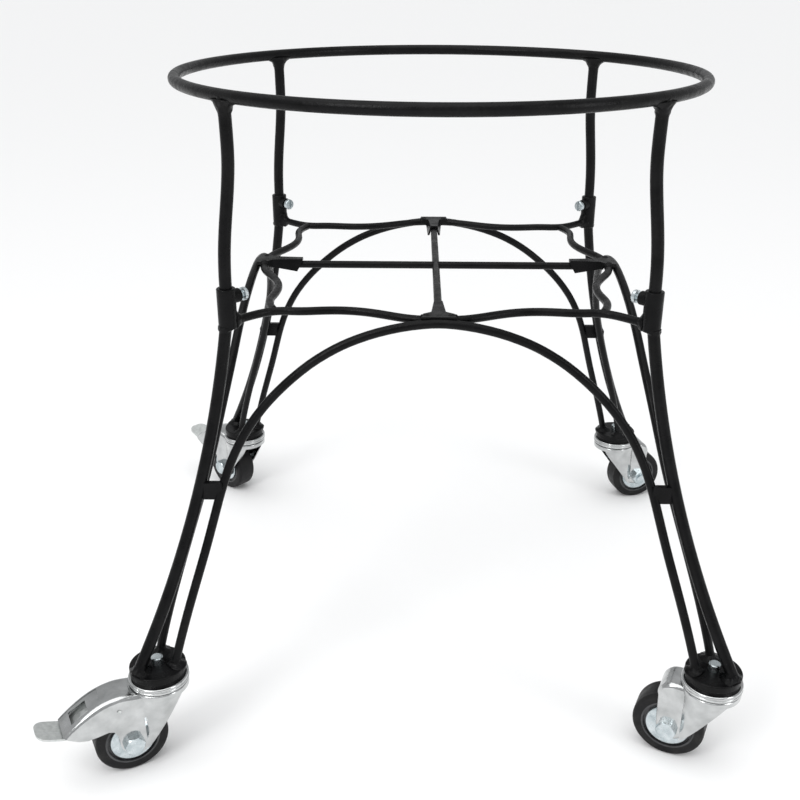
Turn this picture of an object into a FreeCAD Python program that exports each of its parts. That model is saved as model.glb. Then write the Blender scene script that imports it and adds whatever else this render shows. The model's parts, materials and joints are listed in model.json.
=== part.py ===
"""Rolling round-ring stand of welded steel rod on four swivel casters, in millimetres.

The origin is on the floor under the ring's centre, +Z is up and -Y is the front.
Four bowed corner legs stand on caster plates and end in sockets. The posts of the top
ring plug into those sockets and are held by set screws. An arch of thinner rod braces
each pair of legs, and a waved deck of rods with a cross in the middle ties the arches.
"""
import math
import os

import FreeCAD
import Part

V = FreeCAD.Vector

# ------------------------------------------------------------------ driving dimensions
CASTER_PITCH = 378.0        # between neighbouring caster stems
PLATE_TOP = 75.0            # top of the caster plates above the floor
PLATE_RADIUS = 19.0
PLATE_THICKNESS = 5.0
LEG_ROD = 8.0               # rod diameters
BRACE_ROD = 6.0
DECK_ROD = 5.5

RING_RADIUS = 183.2         # centreline of the top ring
RING_HEIGHT = 441.3

# Leg and post follow one circular bow in the plane of the stand's diagonal.
BOW_RADIUS = 613.7
BOW_NEAREST = 182.8         # closest distance of the bow to the ring's axis
BOW_MIDDLE = 410.0          # height of that closest point

SOCKET_REACH = 191.0        # distance of a socket's upright axis from the ring's axis
SOCKET_BLEND = 85.2         # a post eases from its upright foot to the bow over this height
SOCKET_BOTTOM = 298.3
SOCKET_FLOOR = 304.0        # the post stands on the bottom of the socket's bore
SOCKET_TOP = 324.8
SOCKET_OUTER = 6.1          # sleeve radius
SOCKET_FIT = 0.06           # radial clearance of the post in its socket
SCREW_HEIGHT = 318.3
SCREW_RADIUS = 2.5
NUT_RADIUS = 4.6            # welded nut on the socket
NUT_REACH = 10.0            # its outer face from the socket's axis
SCREW_GAP = 0.6             # between the post and the tip of a slackened set screw

ARCH_TOP = 302.6            # centreline height of an arch at its middle
TIE_HEIGHT = 192.0
TIE_SIZE = (16.0, 4.2, 12.0)

DECK_HEIGHT = 302.5         # centreline of the waved rails
BAR_HEIGHT = 301.4          # centreline of the crossed bars
GUSSET_TOP = 306.2
# A gusset from the arch in to its tip: distance, half width of its top, and drop of its wings.
GUSSET_PLAN = [(134.4, 10.8, 2.2), (127.2, 10.0, 2.2), (123.4, 4.6, 5.4), (101.0, 2.9, 9.8)]
GUSSET_BACK = 5.0           # and their lower corners lie this far behind the tip
GUSSET_SHEET = 1.6

WHEEL_RADIUS = 25.0
WHEEL_WIDTH = 18.6
CORE_RADIUS = 18.6          # grey wheel centre inside the tyre
CAP_RADIUS = 15.3
TRAIL = 24.0                # wheel axle behind the caster stem
STEM_RADIUS = 3.9
STEM_TOP = 80.5
AXLE_RADIUS = 4.0
FORK_HALF = 12.4            # half the fork's width over its cheeks
FORK_SHEET = 1.6
HEAD_RADIUS = 20.0          # swivel head
HEAD_LEDGE = 0.5            # the head stands out this far over the flared cheeks
HEAD_TOP = 62.0
HEAD_LOW = 58.0
RACE_RADIUS = 16.0
RACE_FLOOR = 60.0
CAP_BOTTOM = 62.6           # race cap above the fork's head
CAP_TOP = 67.5
CAP_RECESS = 15.5
CAP_GROOVE = 0.8            # radius of the groove rolled round the cap's rim
BALL_RADIUS = 1.95
BALL_CIRCLE = 11.0
BALL_COUNT = 12
PEDAL_PIVOT = (31.0, 54.0)  # behind and above the stem's foot, in the caster's plane
PIN_RADIUS = 1.5
PEDAL_HALF = 9.8
SHOE_HALF = 7.0
TONGUE_ROUND = 7.0
SHOE_GAP = 2.8              # brake shoe above the tyre when released
RUN = 0.05                  # radial running clearance of pins and shafts

HALF = CASTER_PITCH / 2.0
DIAGONAL = math.sqrt(0.5)
UP = V(0, 0, 1)

# Signs of X and Y of each corner.
CORNERS = {
    "front_left": (-1, -1),
    "front_right": (1, -1),
    "rear_left": (-1, 1),
    "rear_right": (1, 1),
}
# The way each wheel trails behind its stem, in degrees from +X, as the stand was parked.
SWIVEL = {"front_left": 208.0, "front_right": 155.0, "rear_left": 138.0, "rear_right": 15.0}
BRAKED = ("front_left", "rear_left")
# Turn of each side about +Z, from the front.
SIDES = {"front": 0.0, "right": 90.0, "rear": 180.0, "left": 270.0}

# Half an arch seen square on, from its foot: distance from its middle, and height.
ARCH_HALF = [(177.0, PLATE_TOP - 1.0), (164.2, 120.0), (150.4, 165.0), (138.6, 205.0),
             (121.2, 238.0), (100.0, 261.4), (75.0, 281.0), (50.0, 293.0), (25.0, 299.7)]
# An arch seen from its side: height, and distance from the stand's axis.
ARCH_SIDE = [(74.0, 190.4), (100.0, 184.4), (120.0, 178.6), (165.0, 164.8), (210.0, 151.4),
             (255.0, 141.9), (302.6, 135.4)]
# Half a waved rail from beside its middle: distance along it, and from the middle.
RAIL_HALF = [(18.0, 127.6), (38.0, 118.6), (58.0, 112.2), (78.0, 112.4), (94.0, 114.0)]
FRONT_RAIL_END = [(106.0, 113.4), (116.0, 118.4), (126.0, 127.6), (134.5, 136.0)]
SIDE_RAIL_END = [(104.0, 111.8), (112.0, 108.6)]

# Outline of a caster fork in its own plane: distance behind the stem, and height.
BACK_TOP = (-17.6, 60.5)
BOSS_CENTRE = (21.2, 27.2)  # of the cheek's round lower end
BOSS_RADIUS = 11.6
PLAIN_ROOF = [(33.6, 51.0), (31.6, 57.6), (26.6, 61.6), (20.5, 62.4), (14.0, 62.0)]
HOOD_FOOT = [(33.4, 33.6), (35.6, 38.4), (39.4, 39.8), (46.0, 38.8), (53.2, 38.3), (59.0, 39.8),
             (68.2, 45.2)]
HOOD_ROOF = [(68.2, 45.8), (62.8, 50.3), (53.5, 56.6), (46.0, 60.4), (37.5, 63.0), (27.0, 63.8),
             (20.0, 62.8), (14.0, 62.0)]
ROOF_ROUND = 4.0            # radius between a fork's roof and its cheeks
PANEL = (41.5, 9.0, 0.7)    # sunk panel of the hood: where it starts, half width, depth
WINDOW = (50.0, 61.5, 6.5)  # opening in the panel: from, to, half width
FLARE_LOW = 16.0            # the cheeks flare out from this height up to the swivel head
FLARE_BACK = 9.0
FLARE_SIDE = 150.0          # where the flared side ends, in degrees round the head
LEVER_TOP = [(36.0, 57.2), (44.0, 55.2), (54.0, 50.4), (64.0, 43.6), (68.0, 43.9), (84.5, 49.4)]
LEVER_SHEET = 1.6


# ------------------------------------------------------------------------- shared tools
def cylinder(radius, start, end):
    """A round bar between two points."""
    along = end - start
    return Part.makeCylinder(radius, along.Length, start, along)


def ring_solid(outer, inner, low, high):
    """A washer about the Z axis."""
    disc = Part.makeCylinder(outer, high - low, V(0, 0, low))
    return disc.cut(Part.makeCylinder(inner, high - low, V(0, 0, low)))


def hexagon(across_flats, length, start, direction):
    """A hexagonal prism."""
    radius = across_flats / math.sqrt(3.0)
    side = direction.cross(UP) if abs(direction.z) < 0.9 else V(1, 0, 0)
    side.normalize()
    other = direction.cross(side)
    corners = []
    for k in range(7):
        angle = math.radians(60.0 * k)
        corners.append(start + side * radius * math.cos(angle) + other * radius * math.sin(angle))
    return Part.Face(Part.makePolygon(corners)).extrude(direction * length)


def rod(edges, diameter):
    """A round rod swept along a smooth chain of edges."""
    start = edges[0].valueAt(edges[0].FirstParameter)
    direction = edges[0].tangentAt(edges[0].FirstParameter)
    circle = Part.Wire([Part.Circle(start, direction, diameter / 2.0).toShape()])
    return Part.Wire(edges).makePipeShell([circle], True, False)


def bends(points):
    """Straight runs through points with an arc in every bend."""
    edges = []
    start = points[0]
    for before, corner, after in zip(points, points[1:], points[2:]):
        arriving = corner - before
        leaving = after - corner
        tangent = 0.45 * min(arriving.Length, leaving.Length)
        arriving.normalize()
        leaving.normalize()
        enter = corner - arriving * tangent
        leave = corner + leaving * tangent
        inner = leaving - arriving
        lean = inner.Length / 2.0
        inner.normalize()
        middle = corner + inner * (tangent * (1.0 - math.sqrt(1.0 - lean ** 2)) / lean)
        edges.append(Part.LineSegment(start, enter).toShape())
        edges.append(Part.Arc(enter, middle, leave).toShape())
        start = leave
    edges.append(Part.LineSegment(start, points[-1]).toShape())
    return edges


def curved_rod(points, diameter, runs):
    """A rod bent along the fair curve through points, in short runs and arcs."""
    curve = Part.BSplineCurve()
    curve.interpolate(Points=points)
    return rod(bends(curve.discretize(runs + 1)), diameter)


def turned(shape, degrees):
    """A copy turned about the stand's axis."""
    copy = shape.copy()
    copy.rotate(V(0, 0, 0), UP, degrees)
    return copy


def rounded(solid, radius, wanted):
    """Fillets the edges whose middle passes the test."""
    edges = [edge for edge in solid.Edges if wanted(edge.CenterOfMass)]
    return solid.makeFillet(radius, edges)


# ------------------------------------------------------------------ the bow of the legs
def bow(height):
    """Distance of the leg's or post's centreline from the ring's axis at a height."""
    drop = height - BOW_MIDDLE
    return BOW_NEAREST + BOW_RADIUS - math.sqrt(BOW_RADIUS ** 2 - drop ** 2)


def eased(height):
    """Distance of a rod's centreline: the bow, drawn over to the upright axis above a socket."""
    if height < SOCKET_TOP:
        return bow(height)
    share = min((height - SOCKET_TOP) / SOCKET_BLEND, 1.0)
    share = share * share * (3.0 - 2.0 * share)
    return SOCKET_REACH + (bow(height) - SOCKET_REACH) * share


def on_bow(name, height):
    """The point of a corner's rod at a height."""
    return -inward(name) * eased(height) + UP * height


def inward(name):
    """Direction from a corner towards the stand's axis."""
    sx, sy = CORNERS[name]
    return V(-sx * DIAGONAL, -sy * DIAGONAL, 0)


def bowed_rod(name, low, high, runs, start=()):
    """A stretch of a corner's rod in short runs and arcs, with points to start from."""
    step = (high - low) / runs
    return rod(bends(list(start) + [on_bow(name, low + step * k) for k in range(runs + 1)]), LEG_ROD)


def in_socket(name, height):
    """A point on a socket's upright axis."""
    return -inward(name) * SOCKET_REACH + UP * height


def socket_sleeve(name):
    """The outside of a socket."""
    return cylinder(SOCKET_OUTER, in_socket(name, SOCKET_BOTTOM), in_socket(name, SOCKET_TOP))


# --------------------------------------------------------------------------- upper half
def make_ring():
    """The round top ring."""
    return Part.makeTorus(RING_RADIUS, LEG_ROD / 2.0, V(0, 0, RING_HEIGHT), UP)


def make_post(name, ring):
    """A post, from the floor of its socket up to the ring's underside."""
    foot = [in_socket(name, SOCKET_FLOOR), in_socket(name, SOCKET_TOP + 2.0)]
    post = bowed_rod(name, SOCKET_TOP + 8.0, RING_HEIGHT, 14, foot)
    corner = on_bow(name, RING_HEIGHT)
    above = Part.makeBox(60, 60, 20, corner - V(30, 30, 0))
    return post.cut(ring).cut(above)


# --------------------------------------------------------------------------- lower half
def caster_centre(name, height=0.0):
    """A point on a caster's stem axis."""
    sx, sy = CORNERS[name]
    return V(sx * HALF, sy * HALF, height)


def make_plate(name):
    """The round plate that a corner's three rods are welded to."""
    low = caster_centre(name, PLATE_TOP - PLATE_THICKNESS)
    plate = Part.makeCylinder(PLATE_RADIUS, PLATE_THICKNESS, low)
    plate = rounded(plate, 0.8, lambda m: abs(m.z - low.z - PLATE_THICKNESS / 2.0) > 2.0)
    return plate.cut(Part.makeCylinder(STEM_RADIUS, PLATE_THICKNESS, low))


def make_leg(name, plate):
    """A bowed leg from its caster plate up to its socket."""
    blank = bowed_rod(name, PLATE_TOP - 2.5, SOCKET_BOTTOM + 2.0, 20)
    below = Part.makeBox(90, 90, 20, caster_centre(name, PLATE_TOP - 20) - V(45, 45, 0))
    above = Part.makeBox(60, 60, 20, in_socket(name, SOCKET_BOTTOM) - V(30, 30, 0))
    return blank.cut([below, above, plate])


def make_socket(name):
    """A cup on the leg's end for the post, with a welded nut for the set screw."""
    axis_point = in_socket(name, SCREW_HEIGHT)
    face = axis_point + inward(name) * NUT_REACH
    nut = cylinder(NUT_RADIUS, axis_point + inward(name) * 2.0, face)
    nut = rounded(nut, 1.0, lambda m: m.distanceToPoint(face) < 0.01)
    body = socket_sleeve(name).fuse(nut)
    for end in (SOCKET_BOTTOM, SOCKET_TOP):
        body = rounded(body, 0.7, lambda m: abs(m.z - end) < 0.01)
    bore = cylinder(LEG_ROD / 2.0 + SOCKET_FIT, in_socket(name, SOCKET_FLOOR),
                    in_socket(name, SOCKET_TOP + 2.0))
    thread = cylinder(SCREW_RADIUS + RUN, axis_point, face + inward(name) * 2.0)
    return body.cut([bore, thread])


def make_set_screw(name):
    """A slotted pan-head screw in the welded nut, slackened so that the post can lift out."""
    axis_point = in_socket(name, SCREW_HEIGHT)
    along = inward(name)
    tip = axis_point + along * (LEG_ROD / 2.0 + SCREW_GAP)
    head_low = axis_point + along * (NUT_REACH + 2.2)
    head_high = head_low + along * 2.9
    head = cylinder(4.3, head_low, head_high)
    head = rounded(head, 1.2, lambda m: m.distanceToPoint(head_high) < 0.01)
    side = along.cross(UP)
    corner = head_high - UP * 5.0 - side * 0.5 - along * 1.1
    slot = Part.Face(Part.makePolygon([corner, corner + UP * 10.0, corner + UP * 10.0 + side,
                                       corner + side, corner])).extrude(along * 3.0)
    return cylinder(SCREW_RADIUS, tip, head_low).fuse(head).cut(slot)


def between(pairs, value):
    """The second number of rising pairs at a value of the first, in straight lines."""
    for (x0, y0), (x1, y1) in zip(pairs, pairs[1:]):
        if value <= x1:
            return y0 + (y1 - y0) * (value - x0) / (x1 - x0)
    return pairs[-1][1]


def arch_point(x, height):
    """A point of the front arch, which leans in as the legs beside it do."""
    return V(x, -between(ARCH_SIDE, height), height)


def arch_half_width(height):
    """Distance of an arch's rod from the arch's middle at a height."""
    return between([(z, x) for x, z in ARCH_HALF], height)


def make_front_arch():
    """The front arch before its feet are trimmed to the plates."""
    left = [arch_point(-x, z) for x, z in ARCH_HALF]
    right = [arch_point(x, z) for x, z in reversed(ARCH_HALF)]
    return curved_rod(left + [arch_point(0.0, ARCH_TOP)] + right, BRACE_ROD, 30)


def trim_to_plates(shape, plates):
    """Cuts a rod's feet level with the tops of the plates."""
    floor = Part.makeBox(4 * HALF, 4 * HALF, 20, V(-2 * HALF, -2 * HALF, PLATE_TOP - 20))
    return shape.cut([floor] + plates)


def rail_distance():
    """How far a rail's middle lies from the stand's axis, touching the arch there."""
    return ARCH_SIDE[-1][1] - (BRACE_ROD + DECK_ROD) / 2.0


def waved_rail(end):
    """The front rail of the deck, with its two ends as given."""
    half = RAIL_HALF + end
    left = [V(-x, -y, DECK_HEIGHT) for x, y in reversed(half)]
    right = [V(x, -y, DECK_HEIGHT) for x, y in half]
    return curved_rod(left + [V(0, -rail_distance(), DECK_HEIGHT)] + right, DECK_ROD, 36)


def long_bar():
    """The bar of the cross that runs from front to rear."""
    reach = rail_distance() - DECK_ROD / 2.0
    return cylinder(DECK_ROD / 2.0, V(0, -reach, BAR_HEIGHT), V(0, reach, BAR_HEIGHT))


def short_bars(long):
    """The two bars that butt on the long one, left and right."""
    reach = rail_distance() - DECK_ROD / 2.0
    bars = [cylinder(DECK_ROD / 2.0, V(side, 0, BAR_HEIGHT), V(side * reach, 0, BAR_HEIGHT))
            for side in (-1, 1)]
    return Part.Compound([bar.cut(long) for bar in bars])


def gusset_section(distance, half, drop):
    """A folded sheet's section: a flat top and two wings that hang down by the drop."""
    t = GUSSET_SHEET
    top = GUSSET_TOP
    foot = half + 1.2 + 0.1 * drop
    outer = [(-foot, top - drop), (-half, top), (half, top), (foot, top - drop)]
    inner = [(foot - t, top - drop - 0.1 * t), (half - 0.7 * t, top - t),
             (0.7 * t - half, top - t), (t - foot, top - drop - 0.1 * t)]
    points = [V(x, -distance, z) for x, z in outer + inner]
    return Part.makePolygon(points + points[:1])


def make_front_gusset():
    """A folded sheet, spread over the arch and rail and closing down round the bar."""
    sheet = Part.makeLoft([gusset_section(*station) for station in GUSSET_PLAN], True, True)
    tip, _, drop = GUSSET_PLAN[-1]
    low = GUSSET_TOP - drop - 1.0
    high = GUSSET_TOP - 2.0
    beyond = [V(-20, -tip, high), V(-20, 5.0 - tip, high), V(-20, 5.0 - tip, low),
              V(-20, -tip - GUSSET_BACK, low)]
    return sheet.cut(Part.Face(Part.makePolygon(beyond + beyond[:1])).extrude(V(40, 0, 0)))


def make_ties(legs, arch):
    """Short blocks that join each leg to the two arch rods beside it."""
    length, thickness, height = TIE_SIZE
    leg_reach = bow(TIE_HEIGHT) * DIAGONAL
    middle = (leg_reach + arch_half_width(TIE_HEIGHT)) / 2.0
    ties = []
    for side, leg in zip((-1, 1), legs):
        corner = V(side * middle - length / 2.0, -leg_reach - thickness / 2.0, TIE_HEIGHT - height / 2.0)
        block = Part.makeBox(length, thickness, height, corner).cut([leg, arch])
        tie = max(block.Solids, key=lambda piece: piece.Volume)
        ties += [turned(tie, degrees) for degrees in SIDES.values()]
    return Part.Compound(ties)


# ------------------------------------------------------------------------------ casters
def at_corner(name, shape):
    """Places a shape modelled about a caster stem at its corner, turned as it is parked."""
    placed = shape.copy()
    placed.rotate(V(0, 0, 0), UP, SWIVEL[name])
    placed.translate(caster_centre(name))
    return placed


def at_all_corners(shape):
    """The same round part at all four corners, as separate solids."""
    return Part.Compound([at_corner(name, shape) for name in CORNERS])


def make_stem():
    """Caster stem: threaded end through the plate, rivet head under the fork."""
    shank = Part.makeCylinder(STEM_RADIUS, STEM_TOP - 56.0, V(0, 0, 56.0))
    shank = rounded(shank, 0.8, lambda m: m.z > STEM_TOP - 0.01)
    head = Part.makeCylinder(8.0, 2.2, V(0, 0, 55.6))
    return shank.fuse(head)


def make_race_cap():
    """Upper race of the swivel, hollow underneath for the balls."""
    cap = Part.makeCylinder(HEAD_RADIUS + 0.5, CAP_TOP - CAP_BOTTOM, V(0, 0, CAP_BOTTOM))
    cap = rounded(cap, 1.2, lambda m: m.z > CAP_TOP - 0.01 or m.z < CAP_BOTTOM + 0.01)
    recess = Part.makeCylinder(CAP_RECESS, RACE_FLOOR + 2 * BALL_RADIUS + 2 * RUN - CAP_BOTTOM,
                               V(0, 0, CAP_BOTTOM))
    middle = V(0, 0, (CAP_BOTTOM + CAP_TOP) / 2.0)
    groove = Part.makeTorus(HEAD_RADIUS + 0.5 + CAP_GROOVE / 2.0, CAP_GROOVE, middle, UP)
    return cap.cut([recess, groove, Part.makeCylinder(STEM_RADIUS, 10, V(0, 0, CAP_BOTTOM))])


def make_balls():
    """The swivel's ring of balls."""
    height = RACE_FLOOR + BALL_RADIUS + RUN
    balls = []
    for k in range(BALL_COUNT):
        angle = 2.0 * math.pi * k / BALL_COUNT
        centre = V(BALL_CIRCLE * math.cos(angle), BALL_CIRCLE * math.sin(angle), height)
        balls.append(Part.makeSphere(BALL_RADIUS, centre))
    return Part.Compound(balls)


def upright(points):
    """Outline points of the caster's plane, as vectors."""
    return [V(x, 0, z) for x, z in points]


def extrude_across(face, half):
    """Extrudes a face of the caster's plane equally to both sides."""
    solid = face.extrude(V(0, 2.0 * half, 0))
    solid.translate(V(0, -half, 0))
    return solid


def fair_curve(points):
    """A smooth curve through points of the caster's plane."""
    curve = Part.BSplineCurve()
    curve.interpolate(Points=upright(points))
    return curve


def fork_outline(foot, roof):
    """A fork seen from the side: sloping back, round lower end, front edge, then the roof."""
    centre = V(BOSS_CENTRE[0], 0, BOSS_CENTRE[1])
    back_top = V(BACK_TOP[0], 0, BACK_TOP[1])
    reach = centre - back_top
    slope = math.atan2(reach.z, reach.x) - math.asin(BOSS_RADIUS / reach.Length)
    run = math.sqrt(reach.Length ** 2 - BOSS_RADIUS ** 2)
    touch = back_top + V(math.cos(slope), 0, math.sin(slope)) * run
    below = centre + V(0.3, 0, -math.sqrt(1.0 - 0.3 ** 2)) * BOSS_RADIUS
    side = centre + V(BOSS_RADIUS, 0, 0)
    chain = [side] + upright(foot) + [V(roof[0][0], 0, roof[0][1])]
    edges = [Part.makeLine(back_top, touch), Part.Arc(touch, below, side).toShape()]
    edges += [Part.makeLine(a, b) for a, b in zip(chain, chain[1:])]
    edges += [fair_curve(roof).toShape(), Part.makeLine(V(roof[-1][0], 0, roof[-1][1]), back_top)]
    return Part.Face(Part.Wire(edges))


def roof_edges(solid, half):
    """The two long edges between a fork's roof and its sides."""
    return [edge for edge in solid.Edges
            if abs(abs(edge.CenterOfMass.y) - half) < 0.01
            and isinstance(edge.Curve, Part.BSplineCurve)]


def fork_hollow(roof):
    """The room between the cheeks and under the roof, open below and in front."""
    curve = fair_curve(roof)
    under = []
    for x, z in roof:
        along = curve.tangent(curve.parameter(V(x, 0, z)))[0]
        under.append((x - along.z * FORK_SHEET, z - abs(along.x) * FORK_SHEET))
    start, end = under[0], under[-1]
    chain = upright([end, (-40.0, end[1]), (-40.0, -10.0), (90.0, -10.0), (90.0, start[1]), start])
    edges = [Part.makeLine(a, b) for a, b in zip(chain, chain[1:])]
    face = Part.Face(Part.Wire(edges + [fair_curve(under).toShape()]))
    half = FORK_HALF - FORK_SHEET
    room = extrude_across(face, half)
    return room.makeFillet(ROOF_ROUND - FORK_SHEET, roof_edges(room, half))


def flare(radius, half):
    """A solid that narrows from the swivel head's round to the flat cheeks."""
    start = math.asin(half / radius)
    side = math.radians(FLARE_SIDE)

    def rim(angle):
        return V(radius * math.cos(angle), radius * math.sin(angle), BACK_TOP[1])

    def arc(a, b):
        return Part.Arc(rim(a), rim((a + b) / 2.0), rim(b)).toShape()

    crease = radius * math.cos(start)
    low = [V(crease, half, FLARE_LOW), V(FLARE_BACK, half, FLARE_LOW),
           V(FLARE_BACK, -half, FLARE_LOW), V(crease, -half, FLARE_LOW)]
    top = Part.Wire([arc(start, side), arc(side, 2.0 * math.pi - side),
                     arc(-side, -start), Part.makeLine(rim(-start), rim(start))])
    return Part.makeLoft([Part.makePolygon(low + low[:1]), top], True, True)


def sunk_panel(body):
    """What the hood's sunk panel takes off its top."""
    start, half, depth = PANEL
    lowered = body.copy()
    lowered.translate(V(0, 0, -depth))
    window = Part.makeBox(60, 2.0 * half, 60, V(start, -half, 20))
    return body.common(window).cut(lowered).common(Part.makeBox(60, 60, 60, V(start, -30, 43)))


def make_fork(braked):
    """A pressed fork: swivel head, roof and two cheeks; a braked one has a long hood."""
    roof = HOOD_ROOF if braked else PLAIN_ROOF
    foot = HOOD_FOOT if braked else []
    outline = fork_outline(foot, roof)
    body = extrude_across(outline, FORK_HALF)
    body = body.makeFillet(ROOF_ROUND, roof_edges(body, FORK_HALF))
    if braked:
        body = body.cut(sunk_panel(body))
        first, last, half = WINDOW
        body = body.cut(Part.makeBox(last - first, 2.0 * half, 40, V(first, -half, 35)))
    body = body.cut(fork_hollow(roof))
    rim = HEAD_RADIUS - HEAD_LEDGE
    crease = math.sqrt(rim ** 2 - FORK_HALF ** 2)
    body = body.common(Part.makeBox(80, 60, 80, V(crease, -30, 0)))
    sides = flare(rim, FORK_HALF).cut(flare(rim - FORK_SHEET, FORK_HALF - FORK_SHEET))
    gap = FORK_HALF - FORK_SHEET
    inside_head = HEAD_LOW + 1.0
    open_back = Part.makeBox(80, 2.0 * gap, inside_head, V(-40, -gap, 0))
    above = Part.makeBox(80, 80, 20, V(-40, -40, inside_head))
    sides = sides.common(extrude_across(outline, HEAD_RADIUS + 5.0)).cut([open_back, above])
    head = Part.makeCylinder(HEAD_RADIUS, HEAD_TOP - HEAD_LOW, V(0, 0, HEAD_LOW))
    head = rounded(head, 1.2, lambda m: m.z > HEAD_TOP - 0.01)
    fork = body.fuse([sides, head])
    race = Part.makeCylinder(RACE_RADIUS, 20, V(0, 0, RACE_FLOOR))
    stem = Part.makeCylinder(STEM_RADIUS + RUN, 40, V(0, 0, 40))
    cap_room = Part.makeCylinder(HEAD_RADIUS + 1.2, 10, V(0, 0, HEAD_TOP))
    axle = cylinder(AXLE_RADIUS, V(TRAIL, -20, WHEEL_RADIUS), V(TRAIL, 20, WHEEL_RADIUS))
    fork = fork.cut([race, stem, cap_room, axle])
    if braked:
        x, z = PEDAL_PIVOT
        fork = fork.cut(cylinder(PIN_RADIUS + RUN, V(x, -20, z), V(x, 20, z)))
    return fork


def make_axle():
    """Hexagon bolt and nut through both cheeks and the wheel."""
    centre = V(TRAIL, 0, WHEEL_RADIUS)
    out = V(0, 1, 0)
    shank = cylinder(AXLE_RADIUS, centre - out * (FORK_HALF + 7.5), centre + out * FORK_HALF)
    head = hexagon(12.6, 4.6, centre + out * FORK_HALF, out)
    nut = hexagon(12.6, 5.6, centre - out * FORK_HALF, -out)
    bolt = shank.fuse(head.common(chamfer_cone(centre + out * FORK_HALF, out, 4.6)))
    nut = nut.common(chamfer_cone(centre - out * FORK_HALF, -out, 5.6)).cut(shank)
    return Part.Compound([bolt, nut])


def chamfer_cone(start, direction, length):
    """A cone that takes the corners off a hexagon's outer end."""
    wide = 12.6 / math.sqrt(3.0) + 3.0
    return Part.makeCone(wide, wide - 4.0, length, start, direction)


def wheel_round(outer, inner, half, fillet=0.0):
    """A ring about the wheel's axle."""
    solid = Part.makeCylinder(outer, 2.0 * half, V(TRAIL, -half, WHEEL_RADIUS), V(0, 1, 0))
    if fillet:
        solid = solid.makeFillet(fillet, [e for e in solid.Edges if e.Length > outer
                                          and abs(abs(e.CenterOfMass.y) - half) < 0.01])
    bore = Part.makeCylinder(inner, 2.0 * half, V(TRAIL, -half, WHEEL_RADIUS), V(0, 1, 0))
    return solid.cut(bore)


def make_tyre():
    """Rubber tread with rounded shoulders."""
    return wheel_round(WHEEL_RADIUS, CORE_RADIUS, WHEEL_WIDTH / 2.0, 2.4)


def make_hub():
    """Moulded wheel centre with a recess on each side for the metal caps."""
    half = WHEEL_WIDTH / 2.0
    hub = wheel_round(CORE_RADIUS, AXLE_RADIUS + RUN, half)
    recess_from = half - 2.2
    for low in (-half, recess_from):
        hub = hub.cut(Part.makeCylinder(CORE_RADIUS - 1.2, 2.2, V(TRAIL, low, WHEEL_RADIUS),
                                        V(0, 1, 0)))
    return hub


def make_wheel_caps():
    """The two pressed metal discs that close the wheel's sides."""
    half = WHEEL_WIDTH / 2.0
    caps = []
    for side in (-1, 1):
        inner = V(TRAIL, side * (half - 2.2), WHEEL_RADIUS)
        disc = Part.makeCylinder(CAP_RADIUS, 2.2 + 0.5, inner, V(0, side, 0))
        disc = disc.makeFillet(1.0, [e for e in disc.Edges
                                     if abs(abs(e.CenterOfMass.y) - half - 0.5) < 0.01])
        bore = Part.makeCylinder(AXLE_RADIUS + RUN, 10, inner, V(0, side, 0))
        caps.append(disc.cut(bore))
    return Part.Compound(caps)


def make_pedal():
    """Brake lever: bent sheet with a tongue to tread on, side arms, a shoe and a pivot pin."""
    low = [(x, z - LEVER_SHEET) for x, z in reversed(LEVER_TOP)]
    outline = LEVER_TOP + low
    sheet = extrude_across(Part.Face(Part.makePolygon(upright(outline + outline[:1]))), PEDAL_HALF)
    tip = LEVER_TOP[-1][0]
    plan = Part.makeBox(tip, 2.0 * PEDAL_HALF, 80, V(0, -PEDAL_HALF, 0))
    plan = rounded(plan, TONGUE_ROUND, lambda m: abs(m.x - tip) < 0.01 and abs(m.z - 40.0) < 0.01
                   and abs(abs(m.y) - PEDAL_HALF) < 0.01)
    sheet = sheet.common(plan)
    x, z = PEDAL_PIVOT
    arm = [(x - 2.6, z + 0.6), (x - 1.0, z - 2.8), (44.0, 48.6), (54.0, 50.0), (44.0, 55.0), (36.0, 56.8)]
    arm_face = Part.Face(Part.makePolygon(upright(arm + arm[:1])))
    arms = extrude_across(arm_face, PEDAL_HALF)
    arms = arms.cut(extrude_across(arm_face, PEDAL_HALF - LEVER_SHEET))
    shoe = [(41.0, 55.2), (39.0, 46.0), (46.5, 38.8), (51.0, 43.0), (52.0, 51.0)]
    shoe = extrude_across(Part.Face(Part.makePolygon(upright(shoe + shoe[:1]))), SHOE_HALF)
    room = Part.makeCylinder(WHEEL_RADIUS + SHOE_GAP, 30, V(TRAIL, -15, WHEEL_RADIUS), V(0, 1, 0))
    pin = cylinder(PIN_RADIUS, V(x, -FORK_HALF - 0.5, z), V(x, FORK_HALF + 0.5, z))
    return sheet.fuse([arms, shoe.cut(room), pin]).removeSplitter()


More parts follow.
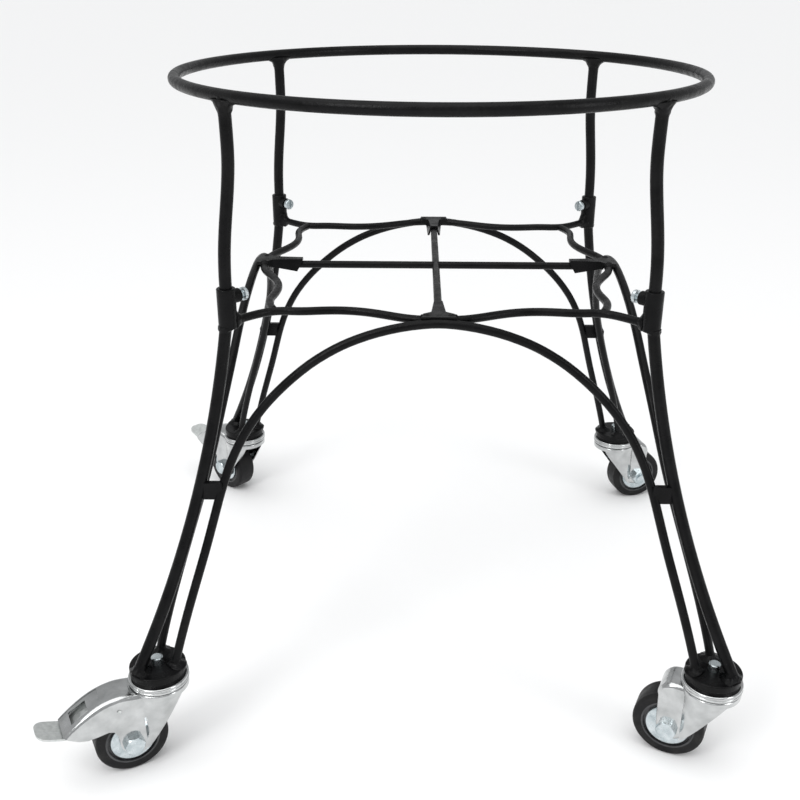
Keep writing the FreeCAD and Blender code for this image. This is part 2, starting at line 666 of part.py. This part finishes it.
# ----------------------------------------------------------------------------- assembly
def build():
    """All sub-parts by node name."""
    parts = {}
    ring = make_ring()
    parts["ring"] = ring
    plates = {name: make_plate(name) for name in CORNERS}
    legs = {name: make_leg(name, plates[name]) for name in CORNERS}
    for name in CORNERS:
        parts["post_" + name] = make_post(name, ring)
        parts["socket_" + name] = make_socket(name)
        parts["set_screw_" + name] = make_set_screw(name)
        parts["leg_" + name] = legs[name]
        parts["plate_" + name] = plates[name]

    front_arch = trim_to_plates(make_front_arch(), list(plates.values()))
    arches = {side: turned(front_arch, degrees) for side, degrees in SIDES.items()}
    sleeves = [socket_sleeve(name) for name in CORNERS]
    rails = {}
    for side in ("front", "rear"):
        rails[side] = turned(waved_rail(FRONT_RAIL_END), SIDES[side]).cut(sleeves)
    for side in ("left", "right"):
        rails[side] = turned(waved_rail(SIDE_RAIL_END), SIDES[side])
        rails[side] = rails[side].cut([rails["front"], rails["rear"]])
    long = long_bar()
    shorts = short_bars(long)
    gusset = make_front_gusset()
    gussets = []
    for side, degrees in SIDES.items():
        parts["arch_" + side] = arches[side]
        parts["deck_rail_" + side] = max(rails[side].Solids, key=lambda piece: piece.Volume)
        gussets.append(turned(gusset, degrees).cut([arches[side], rails[side], long, shorts]))
    parts["deck_bar_long"] = long
    parts["deck_bars_short"] = shorts
    parts["gussets"] = Part.Compound(gussets)
    parts["leg_ties"] = make_ties([legs["front_left"], legs["front_right"]], front_arch)

    stem = make_stem()
    parts["caster_stems"] = at_all_corners(stem)
    parts["race_caps"] = at_all_corners(make_race_cap())
    low = PLATE_TOP - PLATE_THICKNESS
    parts["dust_washers"] = at_all_corners(ring_solid(18.0, STEM_RADIUS, CAP_TOP, low))
    parts["swivel_balls"] = at_all_corners(make_balls())
    for name in CORNERS:
        parts["fork_" + name] = at_corner(name, make_fork(name in BRAKED))
        parts["axle_" + name] = at_corner(name, make_axle())
        parts["tyre_" + name] = at_corner(name, make_tyre())
        parts["hub_" + name] = at_corner(name, make_hub())
        parts["wheel_caps_" + name] = at_corner(name, make_wheel_caps())
        if name in BRAKED:
            parts["brake_pedal_" + name] = at_corner(name, make_pedal())
    return parts


os.makedirs("parts", exist_ok=True)
for node, shape in build().items():
    if not shape.isValid():
        print("not valid:", node)
    shape.exportStep(os.path.join("parts", node + ".step"))
    print(node, len(shape.Solids), round(shape.Volume))
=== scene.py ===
"""Looks of the rolling ring stand: black powder-coated rod on bright chrome casters."""
import json
import math

import bmesh
import bpy
from mathutils import Matrix, Vector, noise


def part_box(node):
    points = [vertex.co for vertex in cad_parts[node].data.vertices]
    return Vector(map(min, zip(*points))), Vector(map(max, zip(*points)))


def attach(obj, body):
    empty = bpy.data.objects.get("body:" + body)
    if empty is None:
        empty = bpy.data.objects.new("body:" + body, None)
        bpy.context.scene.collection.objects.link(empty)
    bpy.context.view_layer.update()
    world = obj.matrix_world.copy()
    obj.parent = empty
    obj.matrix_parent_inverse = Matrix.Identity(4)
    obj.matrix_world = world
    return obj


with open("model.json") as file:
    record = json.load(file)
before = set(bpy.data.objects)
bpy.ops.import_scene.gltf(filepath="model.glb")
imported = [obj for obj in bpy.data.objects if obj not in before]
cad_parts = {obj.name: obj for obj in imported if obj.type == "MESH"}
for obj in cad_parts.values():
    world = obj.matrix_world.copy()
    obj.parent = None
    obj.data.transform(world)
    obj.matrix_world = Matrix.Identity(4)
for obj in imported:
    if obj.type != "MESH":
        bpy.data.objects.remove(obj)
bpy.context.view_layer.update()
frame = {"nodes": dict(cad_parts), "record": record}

CORNERS = ("front_left", "front_right", "rear_left", "rear_right")
SIDES = ("front", "right", "rear", "left")
LEG_RADIUS = 0.004          # of the legs' and the posts' rod
BRACE_RADIUS = 0.003        # of the arches' rod
RAIL_RADIUS = 0.00275       # of the waved rails' rod
SOCKET_RADIUS = 0.0061      # of the sockets' outside
WELD_STEPS = 40             # mesh columns round a weld
WELD_ROWS = 24              # and rows along it
WELD_INSET = 0.00006        # how far a weld's skin lies inside a rod it has run out on
SEAM_STEPS = 12             # mesh columns round a seam
SEAM_PITCH = 0.0006         # length of a mesh row along a seam

FLOOR_HALF = 40.0
CAMERA_PLACE = (-0.01523, -0.75012, 0.51977)
CAMERA_PITCH = 0.41515      # downwards
CAMERA_YAW = -0.01558
CAMERA_ROLL = 0.00244
CAMERA_LENS = 45.86


# ---------------------------------------------------------------------------- materials
class Shader:
    """A Principled material with short ways to add procedural nodes."""

    def __init__(self, name, color, roughness, metallic=0.0):
        self.material = bpy.data.materials.new(name)
        self.material.use_nodes = True
        self.tree = self.material.node_tree
        self.surface = self.tree.nodes["Principled BSDF"]
        self.surface.inputs["Base Color"].default_value = (*color, 1.0)
        self.surface.inputs["Roughness"].default_value = roughness
        self.surface.inputs["Metallic"].default_value = metallic
        self.place = self.tree.nodes.new("ShaderNodeTexCoord").outputs["Object"]

    def set(self, socket, value):
        """Sets a socket that is the same all over."""
        self.surface.inputs[socket].default_value = value

    def noise(self, scale, detail=3.0, stretch=None):
        """Noise over the object, its scale in cycles per metre."""
        node = self.tree.nodes.new("ShaderNodeTexNoise")
        node.inputs["Scale"].default_value = scale
        node.inputs["Detail"].default_value = detail
        place = self.place
        if stretch:
            mapping = self.tree.nodes.new("ShaderNodeMapping")
            mapping.inputs["Scale"].default_value = stretch
            self.tree.links.new(place, mapping.inputs["Vector"])
            place = mapping.outputs["Vector"]
        self.tree.links.new(place, node.inputs["Vector"])
        return node.outputs["Fac"]

    def specks(self, scale):
        """Distance to scattered points, for pits and grains."""
        node = self.tree.nodes.new("ShaderNodeTexVoronoi")
        node.inputs["Scale"].default_value = scale
        self.tree.links.new(self.place, node.inputs["Vector"])
        return node.outputs["Distance"]

    def edges(self, start, end):
        """One on sharp outer edges, nothing elsewhere."""
        node = self.tree.nodes.new("ShaderNodeNewGeometry")
        return self.spread(node.outputs["Pointiness"], 0.0, 1.0, start, end)

    def spread(self, factor, low, high, start=0.3, end=0.7):
        """Maps a factor onto a range of numbers."""
        node = self.tree.nodes.new("ShaderNodeMapRange")
        node.inputs["From Min"].default_value = start
        node.inputs["From Max"].default_value = end
        node.inputs["To Min"].default_value = low
        node.inputs["To Max"].default_value = high
        self.tree.links.new(factor, node.inputs["Value"])
        return node.outputs["Result"]

    def colors(self, factor, low, high, start=0.3, end=0.7):
        """Maps a factor onto a blend of two colours."""
        ramp = self.tree.nodes.new("ShaderNodeValToRGB")
        ramp.color_ramp.elements[0].position = start
        ramp.color_ramp.elements[1].position = end
        ramp.color_ramp.elements[0].color = (*low, 1.0)
        ramp.color_ramp.elements[1].color = (*high, 1.0)
        self.tree.links.new(factor, ramp.inputs["Fac"])
        return ramp.outputs["Color"]

    def mixed(self, factor, first, second):
        """Blends two colour outputs by a factor."""
        node = self.tree.nodes.new("ShaderNodeMix")
        node.data_type = "RGBA"
        self.tree.links.new(factor, node.inputs[0])
        self.tree.links.new(first, node.inputs[6])
        self.tree.links.new(second, node.inputs[7])
        return node.outputs[2]

    def link(self, output, socket):
        """Drives a socket of the surface."""
        self.tree.links.new(output, self.surface.inputs[socket])

    def bump(self, *layers):
        """Adds bump layers, each a height factor and its depth in metres."""
        normal = None
        for factor, depth in layers:
            node = self.tree.nodes.new("ShaderNodeBump")
            node.inputs["Strength"].default_value = 1.0
            node.inputs["Distance"].default_value = depth
            self.tree.links.new(factor, node.inputs["Height"])
            if normal:
                self.tree.links.new(normal, node.inputs["Normal"])
            normal = node.outputs["Normal"]
        self.link(normal, "Normal")


def powder_coat():
    """Semi-gloss black powder coat: fine orange peel, faint dust and dull patches."""
    paint = Shader("black_powder_coat", (0.003, 0.003, 0.0035), 0.3)
    clean = paint.colors(paint.noise(60), (0.0018, 0.0018, 0.002), (0.0055, 0.0055, 0.006))
    dusty = paint.colors(paint.noise(500, 5.0), (0.006, 0.006, 0.006), (0.018, 0.0175, 0.017))
    dust = paint.spread(paint.noise(25, 6.0), 0.0, 0.45, 0.52, 0.75)
    paint.link(paint.mixed(dust, clean, dusty), "Base Color")
    paint.link(paint.spread(paint.noise(140, 4.0), 0.22, 0.42), "Roughness")
    paint.set("Specular IOR Level", 0.12)
    paint.bump((paint.noise(850, 2.0), 0.00014), (paint.noise(160, 2.0), 0.0003),
               (paint.specks(2600), 0.00002))
    return paint.material


def chrome():
    """Bright chrome over pressed sheet, faintly wavy, with fine wipe marks."""
    metal = Shader("bright_chrome", (0.78, 0.79, 0.8), 0.12, 1.0)
    metal.link(metal.colors(metal.noise(90, 4.0), (0.42, 0.43, 0.43), (0.60, 0.61, 0.61)), "Base Color")
    metal.link(metal.spread(metal.noise(240, 5.0, (1.0, 1.0, 3.0)), 0.07, 0.24), "Roughness")
    metal.bump((metal.noise(55, 1.0), 0.0009), (metal.noise(260, 2.0), 0.0001),
               (metal.noise(1400, 2.0, (1.0, 1.0, 0.2)), 0.00002))
    return metal.material


def zinc():
    """Bluish zinc plate with a soft, slightly grainy sheen."""
    metal = Shader("zinc_plate", (0.55, 0.6, 0.62), 0.3, 1.0)
    metal.link(metal.colors(metal.noise(150, 5.0), (0.40, 0.46, 0.48), (0.68, 0.73, 0.75)), "Base Color")
    metal.link(metal.spread(metal.noise(320, 4.0), 0.2, 0.42), "Roughness")
    metal.bump((metal.noise(120, 1.0), 0.0003), (metal.noise(1100, 3.0), 0.00006))
    return metal.material


def rubber():
    """Black tread rubber, satin on the walls and dusted grey in patches."""
    tread = Shader("tyre_rubber", (0.008, 0.008, 0.009), 0.5)
    clean = tread.colors(tread.noise(110, 5.0), (0.004, 0.004, 0.005), (0.012, 0.012, 0.012))
    dusty = tread.colors(tread.noise(700, 5.0), (0.015, 0.015, 0.014), (0.045, 0.043, 0.04))
    dust = tread.spread(tread.noise(70, 6.0), 0.0, 0.5, 0.5, 0.75)
    tread.link(tread.mixed(dust, clean, dusty), "Base Color")
    tread.link(tread.spread(tread.noise(220, 4.0), 0.38, 0.62), "Roughness")
    tread.set("Specular IOR Level", 0.2)
    tread.bump((tread.noise(1500, 3.0), 0.0001), (tread.noise(300, 2.0), 0.0001))
    return tread.material


def hub_plastic():
    """Dark grey moulded nylon of the wheel centre."""
    nylon = Shader("hub_plastic", (0.04, 0.041, 0.043), 0.4)
    mottled = nylon.colors(nylon.noise(160, 4.0), (0.022, 0.023, 0.025), (0.055, 0.056, 0.058))
    nylon.link(mottled, "Base Color")
    nylon.link(nylon.spread(nylon.noise(300, 3.0), 0.3, 0.5), "Roughness")
    nylon.bump((nylon.noise(1200, 2.0), 0.00006), (nylon.specks(2200), 0.00003))
    return nylon.material


def pedal_steel():
    """Grey-green zinc-plated lever with a matt, mottled face and a painted highlight on its sharp edges.
    """
    metal = Shader("pedal_steel", (0.42, 0.45, 0.45), 0.45, 0.9)
    face = metal.colors(metal.noise(120, 5.0), (0.30, 0.33, 0.32), (0.47, 0.5, 0.49))
    # Lighter colour for the painted highlight along the sharp edges
    painted_edge_highlight = metal.colors(metal.noise(400, 3.0), (0.55, 0.57, 0.56), (0.7, 0.72, 0.71))
    # Painted highlight: the edge mask blends the sharp edges from the face colour to the lighter one
    metal.link(metal.mixed(metal.edges(0.52, 0.6), face, painted_edge_highlight), "Base Color")
    metal.link(metal.spread(metal.noise(260, 4.0), 0.34, 0.52), "Roughness")
    metal.bump((metal.noise(1000, 3.0), 0.0001), (metal.noise(2200, 2.0, (0.15, 1.0, 1.0)), 0.00003))
    return metal.material


MATERIALS = {
    "black_powder_coat": powder_coat(),
    "bright_chrome": chrome(),
    "zinc_plate": zinc(),
    "tyre_rubber": rubber(),
    "hub_plastic": hub_plastic(),
    "pedal_steel": pedal_steel(),
}


def dress_frame():
    """Gives every CAD node the material of its slot in the record."""
    for entry in frame["record"]["subparts"]:
        node = frame["nodes"][entry["node"]]
        node.data.materials.clear()
        node.data.materials.append(MATERIALS[entry["material_slot"]])


# ------------------------------------------------------------------- measuring the frame
def slice_points(node, axis, value):
    """Where a CAD node's mesh edges cross a plane square to an axis."""
    mesh = frame["nodes"][node].data
    points = []
    for edge in mesh.edges:
        a = mesh.vertices[edge.vertices[0]].co
        b = mesh.vertices[edge.vertices[1]].co
        if (a[axis] - value) * (b[axis] - value) < 0.0:
            points.append(a.lerp(b, (value - a[axis]) / (b[axis] - a[axis])))
    return points


def rod_centre(node, axis, value, near, within=0.03):
    """Centre of a rod's section by a plane, the one close to a point."""
    points = [p for p in slice_points(node, axis, value) if (p - near).length < within]
    low = Vector([min(p[k] for p in points) for k in range(3)])
    high = Vector([max(p[k] for p in points) for k in range(3)])
    return (low + high) / 2.0


# --------------------------------------------------------------------------------- welds
def rod_field(start, end, radius):
    """Distance outside a round rod that runs on past both points."""
    along = (end - start).normalized()

    def distance(point):
        away = point - start
        return (away - along * away.dot(along)).length - radius

    return distance


def plane_field(height):
    """Distance above a level face."""
    return lambda point: point.z - height


def torus_field(radius, height, rod):
    """Distance outside a level ring about the stand's axis."""
    def distance(point):
        out = math.hypot(point.x, point.y) - radius
        return math.hypot(out, point.z - height) - rod

    return distance


def can_field(centre, radius, low, high):
    """Distance outside an upright round can."""
    def distance(point):
        out = math.hypot(point.x - centre.x, point.y - centre.y) - radius
        over = max(low - point.z, point.z - high)
        inside = min(max(out, over), 0.0)
        return inside + math.hypot(max(out, 0.0), max(over, 0.0))

    return distance


def blended(first, second, width):
    """Distance outside two shapes with a fillet of weld between them."""
    def distance(point):
        a, b = first(point), second(point)
        share = max(width - abs(a - b), 0.0) / width
        return min(a, b) - share * share * width / 4.0

    return distance


def surface_reach(field, start, direction, limit):
    """How far out from a point the surface of a field lies."""
    low, high = 0.0, limit
    if field(start + direction * limit) < 0.0:
        return limit
    for _ in range(16):
        middle = (low + high) / 2.0
        if field(start + direction * middle) < 0.0:
            low = middle
        else:
            high = middle
    return (low + high) / 2.0


def weld(name, body, start, end, rod, base, width, lumps, seed):
    """A lumpy fillet, width wide, round a rod from start, inside what it is welded to, up to end."""
    along = (end - start).normalized()
    side = along.orthogonal().normalized()
    other = along.cross(side)
    stem = rod_field(start, end, rod)
    field = blended(stem, base, width)
    limit = rod + 0.8 * width
    mesh = bmesh.new()
    rows = []
    for i in range(WELD_ROWS + 1):
        centre = start.lerp(end, i / WELD_ROWS)
        row = []
        for k in range(WELD_STEPS):
            angle = 2.0 * math.pi * k / WELD_STEPS
            out = side * math.cos(angle) + other * math.sin(angle)
            reach = surface_reach(field, centre, out, limit)
            point = centre + out * reach
            stand = max(min(stem(point), base(point)), 0.0)
            lump = noise.noise(point * 420.0 + Vector((seed, seed, 0.0))) * lumps
            lump *= min(stand / 0.0005, 1.0)
            row.append(mesh.verts.new(point + out * (lump - WELD_INSET)))
        rows.append(row)
    for low, high in zip(rows, rows[1:]):
        for k in range(WELD_STEPS):
            after = (k + 1) % WELD_STEPS
            mesh.faces.new((low[k], low[after], high[after], high[k]))
    mesh.faces.new(list(reversed(rows[0])))
    mesh.faces.new(rows[-1])
    return add_piece(name, mesh, body, "black_powder_coat")


def seam(name, body, points, thickness, depth, seed):
    """A bead of weld along a line: overlapping ripples, tapered at both ends."""
    mesh = bmesh.new()
    rows = []
    steps = max(8, int((points[-1] - points[0]).length / SEAM_PITCH))
    for i in range(steps + 1):
        share = i / steps
        spot = share * (len(points) - 1)
        k = min(int(spot), len(points) - 2)
        centre = points[k].lerp(points[k + 1], spot - k)
        along = (points[k + 1] - points[k]).normalized()
        side = along.cross(Vector((0, 0, 1))).normalized()
        over = side.cross(along)
        taper = max(math.sin(math.pi * share), 0.0) ** 0.35
        ripple = 1.0 + 0.07 * math.sin(steps * share * 1.9) + 0.16 * noise.noise(
            centre * 300.0 + Vector((seed, 0.0, seed)))
        row = []
        for j in range(SEAM_STEPS):
            angle = 2.0 * math.pi * j / SEAM_STEPS
            out = side * (math.cos(angle) * thickness) + over * (math.sin(angle) * depth)
            row.append(mesh.verts.new(centre + out * (taper * ripple + 0.02)))
        rows.append(row)
    for low, high in zip(rows, rows[1:]):
        for j in range(SEAM_STEPS):
            after = (j + 1) % SEAM_STEPS
            mesh.faces.new((low[j], low[after], high[after], high[j]))
    mesh.faces.new(list(reversed(rows[0])))
    mesh.faces.new(rows[-1])
    return add_piece(name, mesh, body, "black_powder_coat")


def add_piece(name, mesh, body, slot):
    """Makes a smooth object of a mesh, which rides on a body."""
    bmesh.ops.recalc_face_normals(mesh, faces=mesh.faces)
    data = bpy.data.meshes.new(name)
    mesh.to_mesh(data)
    mesh.free()
    data.shade_smooth()
    data.materials.append(MATERIALS[slot])
    piece = bpy.data.objects.new(name, data)
    bpy.context.collection.objects.link(piece)
    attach(piece, body)
    return piece


def middle_of(node):
    """Centre of a node's box."""
    low, high = (Vector(corner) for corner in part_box(node))
    return (low + high) / 2.0


def outward(corner):
    """Signs of a corner's x and y."""
    return (1.0 if "right" in corner else -1.0, 1.0 if "rear" in corner else -1.0)


def foot_welds():
    """The three rods of each corner are welded to its plate."""
    for corner in CORNERS:
        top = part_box("plate_" + corner)[1][2]
        centre = middle_of("plate_" + corner)
        arches = [("arch_" + side, BRACE_RADIUS) for side in SIDES]
        for rod, radius in [("leg_" + corner, LEG_RADIUS)] + arches:
            near = Vector((centre.x, centre.y, top))
            if not [p for p in slice_points(rod, 2, top + 0.002) if (p - near).length < 0.03]:
                continue
            low = rod_centre(rod, 2, top + 0.001, near)
            high = rod_centre(rod, 2, top + 0.012, near, 0.035)
            along = (high - low).normalized()
            start = low - along * 0.002
            weld("weld_" + rod + "_" + corner + "_foot", "frame", start, start + along * 0.009, radius,
                 plane_field(top), width=0.006, lumps=0.0009, seed=low.x * 40.0)


def ring_welds():
    """The posts are welded to the ring's underside."""
    low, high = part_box("ring")
    rod = (high[2] - low[2]) / 2.0
    height = (high[2] + low[2]) / 2.0
    ring = torus_field(high[0] - rod, height, rod)
    for corner in CORNERS:
        post = "post_" + corner
        near = middle_of(post)
        near.z = low[2]
        top = rod_centre(post, 2, low[2] - 0.002, near, 0.05)
        below = rod_centre(post, 2, low[2] - 0.02, near, 0.06)
        along = (below - top).normalized()
        start = top - along * 0.004
        weld("weld_post_" + corner, "ring_assembly", start, start + along * 0.017, LEG_RADIUS, ring,
             width=0.009, lumps=0.0007, seed=top.x * 30.0)


def socket_axis(corner):
    """Where a socket's axis stands, from its section below the nut."""
    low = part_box("socket_" + corner)[0]
    near = middle_of("socket_" + corner)
    near.z = low[2]
    return rod_centre("socket_" + corner, 2, low[2] + 0.003, near)


def socket_welds():
    """The legs are welded to the undersides of the sockets."""
    for corner in CORNERS:
        low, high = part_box("socket_" + corner)
        leg = "leg_" + corner
        near = middle_of("socket_" + corner)
        near.z = low[2]
        top = rod_centre(leg, 2, low[2] - 0.001, near)
        below = rod_centre(leg, 2, low[2] - 0.012, near)
        along = (below - top).normalized()
        start = top - along * 0.002
        can = can_field(socket_axis(corner), SOCKET_RADIUS, low[2], high[2])
        weld("weld_socket_" + corner, "frame", start, start + along * 0.010, LEG_RADIUS, can,
             width=0.0028, lumps=0.0005, seed=top.y * 30.0)


def turned(point, side):
    """A point of the front side, turned to another side of the stand."""
    turn = Matrix.Rotation(math.radians(90.0 * SIDES.index(side)), 3, "Z")
    return turn @ point


def rail_welds():
    """Each waved rail lies along the inside of its arch and is welded to it under the gusset."""
    arch_low, arch_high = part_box("arch_front")
    rail_low, rail_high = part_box("deck_rail_front")
    arch = rod_centre("arch_front", 0, 0.0005, Vector((0.0, arch_low[1], arch_high[2])), 0.09)
    rail = rod_centre("deck_rail_front", 0, 0.0005, Vector((0.0, arch.y, rail_high[2])), 0.03)
    rail_out = rod_centre("deck_rail_front", 0, 0.016, Vector((0.016, arch.y, rail_high[2])), 0.03)
    for side in SIDES:
        for sign in (-1.0, 1.0):
            start = Vector((sign * 0.0045, rail.y - 0.0006, rail.z + 0.0018))
            end = Vector((sign * 0.0130, rail_out.y - 0.0004, rail.z + 0.0006))
            seam("weld_rail_" + side + ("_a" if sign < 0 else "_b"), "frame",
                 [turned(p, side) for p in (start, start.lerp(end, 0.5), end)],
                 thickness=0.0034, depth=0.0031, seed=sign * 3.0 + SIDES.index(side))


def rail_end_welds():
    """The front and rear rails end on the sockets and are welded to them."""
    for corner in CORNERS:
        socket_low, socket_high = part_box("socket_" + corner)
        sx = outward(corner)[0]
        rail = "deck_rail_" + ("front" if "front" in corner else "rear")
        low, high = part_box(rail)
        edge = high[0] if sx > 0 else low[0]
        height = (low[2] + high[2]) / 2.0
        near = slice_points(rail, 0, edge - sx * 0.002)[0]
        tip = rod_centre(rail, 0, edge - sx * 0.0035, near, 0.02)
        back = rod_centre(rail, 0, edge - sx * 0.012, near, 0.03)
        along = (back - tip).normalized()
        can = can_field(socket_axis(corner), SOCKET_RADIUS, socket_low[2], socket_high[2])
        start = tip - along * 0.004
        weld("weld_" + rail + "_" + corner, "frame", start, start + along * 0.016, RAIL_RADIUS, can,
             width=0.006, lumps=0.0007, seed=height * 90.0)


def tie_welds():
    """Seams where the ties meet the legs and the arches."""
    data = frame["nodes"]["leg_ties"].data
    low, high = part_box("leg_ties")
    for corner in CORNERS:
        sx, sy = outward(corner)
        for axis in (0, 1):
            spots = [v.co for v in data.vertices if v.co.x * sx > 0 and v.co.y * sy > 0
                     and (abs(v.co.y) > abs(v.co.x)) == (axis == 0)]
            ends = (min(abs(p[axis]) for p in spots), max(abs(p[axis]) for p in spots))
            across = sum(p[1 - axis] for p in spots) / len(spots)
            sign = sx if axis == 0 else sy
            for label, end in zip(("arch", "leg"), ends):
                points = []
                for height in (low[2] + 0.0005, (low[2] + high[2]) / 2.0, high[2] - 0.0005):
                    rows = [abs(p[axis]) for p in spots if abs(p.z - height) < 0.0065]
                    reach = min(rows) if label == "arch" else max(rows)
                    reach += 0.0004 if label == "arch" else -0.0004
                    place = [0.0, 0.0, height]
                    place[axis] = sign * reach
                    place[1 - axis] = across
                    points.append(Vector(place))
                seam("weld_tie_" + corner + ("_x_" if axis == 0 else "_y_") + label, "frame", points,
                     thickness=0.0021, depth=0.0029, seed=end * 700.0)


# ----------------------------------------------------------------------------- the looks
dress_frame()
foot_welds()
ring_welds()
socket_welds()
rail_welds()
rail_end_welds()
tie_welds()


# -------------------------------------------------------------------- studio and camera
def build_floor():
    """A plain pale floor."""
    mesh = bpy.data.meshes.new("studio_floor")
    edge = (-FLOOR_HALF, FLOOR_HALF)
    corners = [(edge[0], edge[0], 0), (edge[1], edge[0], 0), (edge[1], edge[1], 0), (edge[0], edge[1], 0)]
    mesh.from_pydata(corners, [], [(0, 1, 2, 3)])
    floor = bpy.data.objects.new("studio_floor", mesh)
    bpy.context.collection.objects.link(floor)
    mesh.materials.append(Shader("studio_floor", (0.93, 0.93, 0.93), 0.7).material)


def area_light(name, place, aim, size, power):
    """A soft rectangular light that looks at a point."""
    data = bpy.data.lights.new(name, "AREA")
    data.shape = "RECTANGLE"
    data.size, data.size_y = size
    data.energy = power
    light = bpy.data.objects.new(name, data)
    light.location = place
    light.rotation_euler = (Vector(aim) - Vector(place)).to_track_quat("-Z", "Y").to_euler()
    bpy.context.collection.objects.link(light)


def build_light():
    """A pale grey room with a broad even light from above and soft boxes round the stand."""
    world = bpy.data.worlds.new("studio")
    world.use_nodes = True
    background = world.node_tree.nodes["Background"]
    background.inputs["Color"].default_value = (0.98, 0.99, 1.0, 1.0)
    background.inputs["Strength"].default_value = 0.55
    bpy.context.scene.world = world
    data = bpy.data.lights.new("overhead", "SUN")
    data.energy = 1.5
    data.angle = math.radians(70.0)
    overhead = bpy.data.objects.new("overhead", data)
    overhead.rotation_euler = (math.radians(8.0), math.radians(-10.0), 0.0)
    bpy.context.collection.objects.link(overhead)
    area_light("key", (-0.9, -1.2, 1.3), (0, 0, 0.2), (0.5, 0.9), 9)
    area_light("fill", (1.3, -0.9, 0.9), (0, 0, 0.2), (0.4, 1.0), 5)


def build_camera():
    """The camera stands in front, looking down on the ring."""
    level = Vector((math.sin(CAMERA_YAW), math.cos(CAMERA_YAW), 0.0))
    ahead = level * math.cos(CAMERA_PITCH) - Vector((0.0, 0.0, math.sin(CAMERA_PITCH)))
    right = Vector((level.y, -level.x, 0.0))
    up = right.cross(ahead)
    rolled_right = right * math.cos(CAMERA_ROLL) + up * math.sin(CAMERA_ROLL)
    rolled_up = up * math.cos(CAMERA_ROLL) - right * math.sin(CAMERA_ROLL)
    data = bpy.data.cameras.new("camera")
    data.lens = CAMERA_LENS
    data.sensor_width = 36.0
    data.clip_start = 0.01
    camera = bpy.data.objects.new("camera", data)
    turn = Matrix((rolled_right, rolled_up, -ahead)).transposed().to_4x4()
    camera.matrix_world = Matrix.Translation(CAMERA_PLACE) @ turn
    bpy.context.collection.objects.link(camera)
    bpy.context.scene.camera = camera


build_floor()
build_light()
build_camera()
bpy.context.scene.view_settings.view_transform = "Standard"
